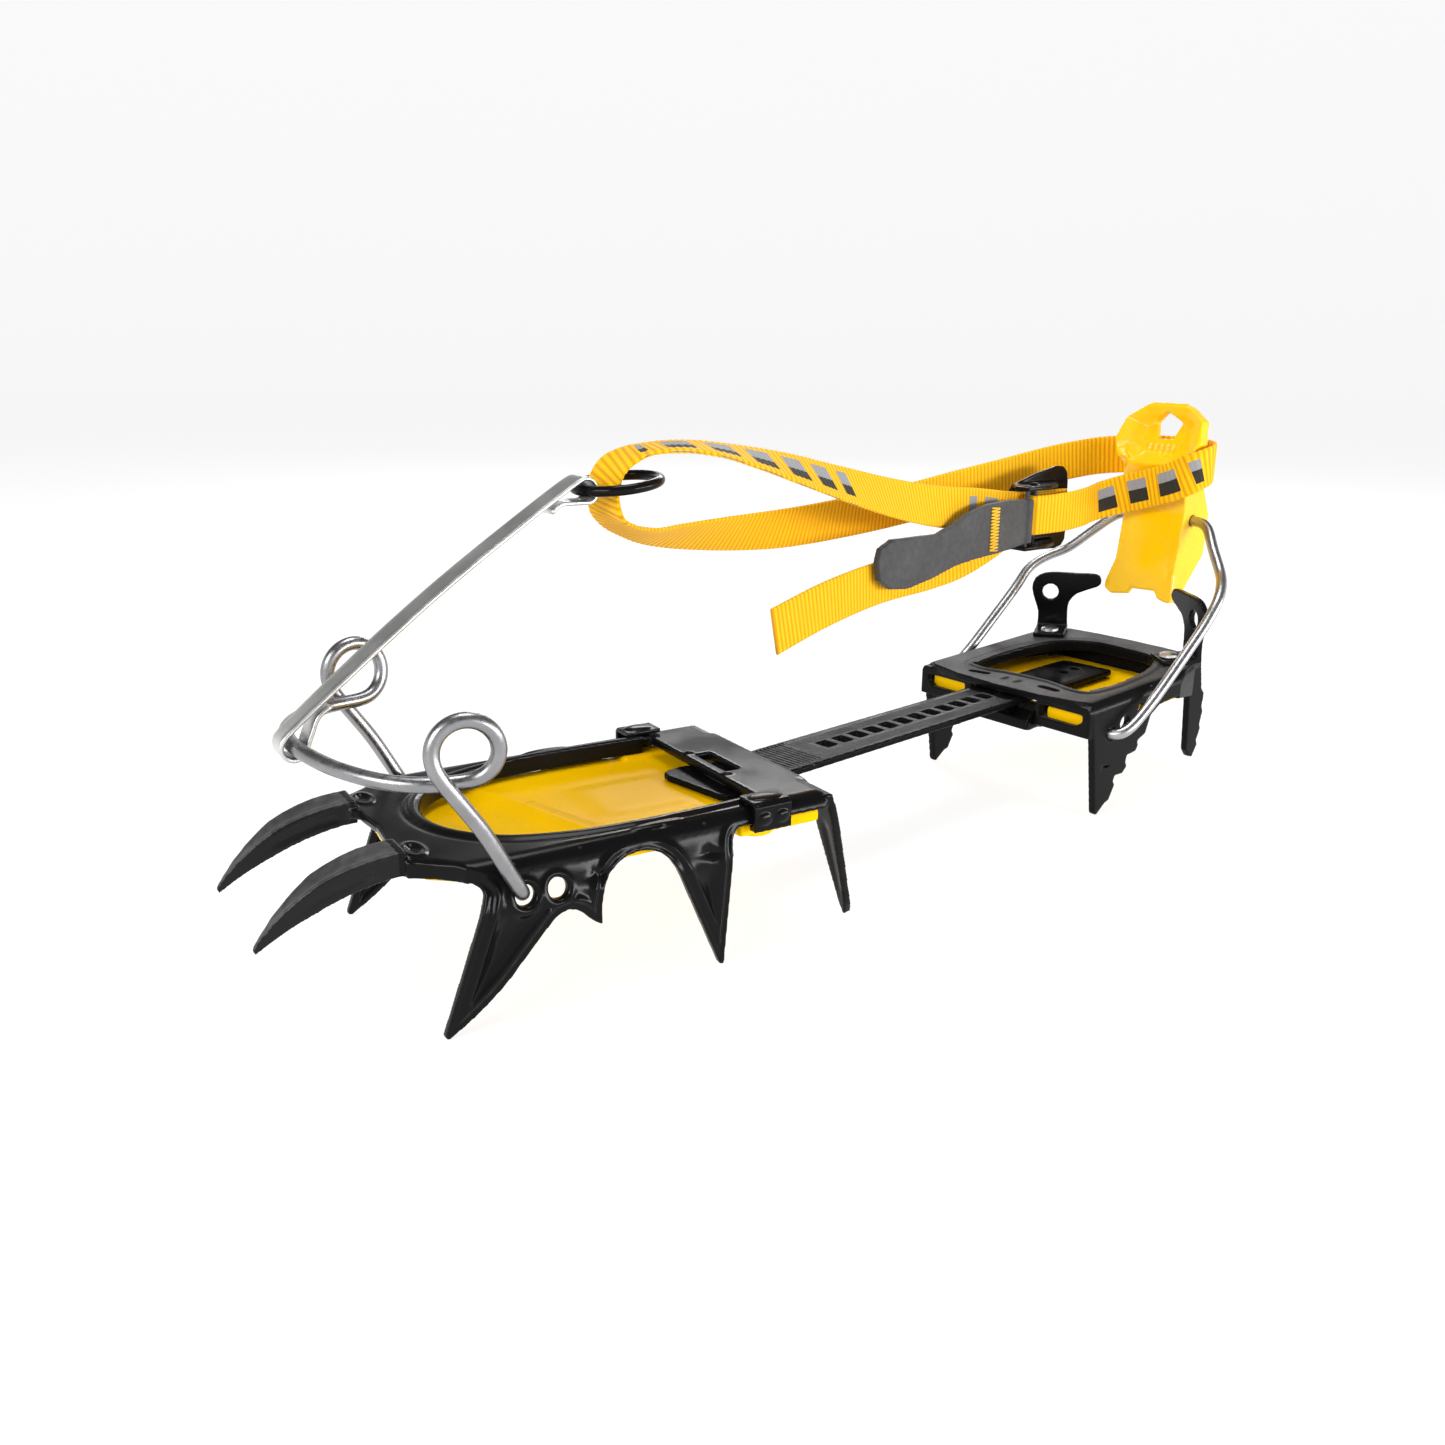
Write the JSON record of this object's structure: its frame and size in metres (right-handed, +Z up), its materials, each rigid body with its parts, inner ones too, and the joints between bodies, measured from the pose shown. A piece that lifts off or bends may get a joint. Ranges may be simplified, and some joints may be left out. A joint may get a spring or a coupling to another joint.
{
  "type": "crampon",
  "caption": "Strap-on mountaineering crampon with pressed steel frames, link bar, toe and heel bails, heel lever and ankle strap.",
  "frame": {"origin": "middle of the bounding box in plan, on the ground that the points stand on", "axes": "+Z up, the toe points to -Y and the heel to +Y, +X is the outer side of a left foot"},
  "size_m": [0.1002, 0.392, 0.142],
  "materials": {
    "black_steel": "gloss black powder coat",
    "grey_wire": "matt grey steel",
    "bright_wire": "bright stainless steel",
    "yellow_plastic": "gloss yellow moulding",
    "yellow_webbing": "woven yellow webbing",
    "grey_rubber": "matt dark grey rubber",
    "black_plastic": "satin black plastic",
    "thread": "yellow bar tack thread"
  },
  "bodies": {
    "front_frame": {"front_frame": "black_steel", "front_antibott": "yellow_plastic", "antibott_clip_outer": "black_plastic", "antibott_clip_inner": "black_plastic"},
    "toe_bail": {"toe_bail": "grey_wire"},
    "ankle_strip": {"ankle_strip": "grey_wire"},
    "strap_ring": {"strap_ring": "black_steel"},
    "link_bar": {"link_bar": "black_steel"},
    "rear_frame": {"rear_frame": "black_steel", "rear_antibott": "yellow_plastic", "latch_pin": "grey_wire", "heel_post_outer": "black_steel", "heel_post_inner": "black_steel", "post_rivet_outer": "bright_wire", "post_rivet_inner": "bright_wire"},
    "adjuster_latch": {"adjuster_latch": "black_steel"},
    "heel_bail": {"heel_bail": "bright_wire"},
    "heel_lever": {"heel_lever": "yellow_plastic", "strap_lever_wrap": "yellow_webbing", "strap_buckle_run": "yellow_webbing", "strap_near_leg": "yellow_webbing", "strap_far_leg": "yellow_webbing", "strap_tail": "yellow_webbing", "buckle_frame": "black_steel", "buckle_bar": "black_steel", "buckle_tab_pin": "black_steel"},
    "ankle_strap": {"strap_front_loop": "yellow_webbing"},
    "pull_tab": {"pull_tab": "grey_rubber", "pull_tab_stitching": "thread"}
  },
  "joints": [
    {"name": "toe_bail_swing", "type": "hinge", "parent": "front_frame", "child": "toe_bail", "pos_m": [-0.00156, -0.13147, 0.0335], "axis": [0.9926, -0.1213, 0], "range_deg": [-3.53, 3.53]},
    {"name": "ankle_strip_swing", "type": "hinge", "parent": "toe_bail", "child": "ankle_strip", "pos_m": [-0.00688, -0.17504, 0.0689], "axis": [1, 0, 0], "range_deg": [-13.25, 13.25]},
    {"name": "strap_ring_swing", "type": "hinge", "parent": "ankle_strip", "child": "strap_ring", "pos_m": [-0.00571, -0.08875, 0.1263], "axis": [1, 0, 0], "range_deg": [-16.77, 16.77]},
    {"name": "bar_flex", "type": "hinge", "parent": "front_frame", "child": "link_bar", "pos_m": [0.01072, -0.04165, 0.0385], "axis": [0.9963, 0.0854, 0], "range_deg": [-0.3, 0.3], "stiffness_Nm_per_rad": 40},
    {"name": "length_adjust", "type": "slide", "parent": "link_bar", "child": "rear_frame", "axis": [-0.0854, 0.9963, 0], "range_m": [-0.0078, 0.0234]},
    {"name": "latch_release", "type": "hinge", "parent": "rear_frame", "child": "adjuster_latch", "pos_m": [-0.00081, 0.10086, 0.0324], "axis": [1, 0, 0], "range_deg": [0, 10], "stiffness_Nm_per_rad": 0.5},
    {"name": "heel_bail_swing", "type": "hinge", "parent": "rear_frame", "child": "heel_bail", "pos_m": [-0.00081, 0.10486, 0.03], "axis": [1, 0, 0], "range_deg": [-16, 16]},
    {"name": "heel_lever_tilt", "type": "hinge", "parent": "heel_bail", "child": "heel_lever", "pos_m": [-0.00081, 0.18485, 0.097], "axis": [1, 0, 0], "range_deg": [-16.01, 16.01]},
    {"name": "strap_length", "type": "slide", "parent": "heel_lever", "child": "ankle_strap", "axis": [-0.0854, 0.9963, 0], "range_m": [-0.0235, 0.0079], "deforming": ["strap_near_leg", "strap_far_leg"]},
    {"name": "pull_tab_lift", "type": "hinge", "parent": "heel_lever", "child": "pull_tab", "pos_m": [-0.01301, 0.11425, 0.1], "axis": [0, 0, 1], "range_deg": [0, 35]}
  ],
  "couplings": [
    {"joint": "toe_bail_swing", "follows": "heel_bail_swing", "ratio": 0.2195},
    {"joint": "ankle_strip_swing", "follows": "heel_bail_swing", "ratio": 0.8274},
    {"joint": "strap_ring_swing", "follows": "heel_bail_swing", "ratio": -1.0469},
    {"joint": "heel_lever_tilt", "follows": "heel_bail_swing", "ratio": -1},
    {"joint": "strap_length", "follows": "length_adjust", "ratio": -1}
  ]
}
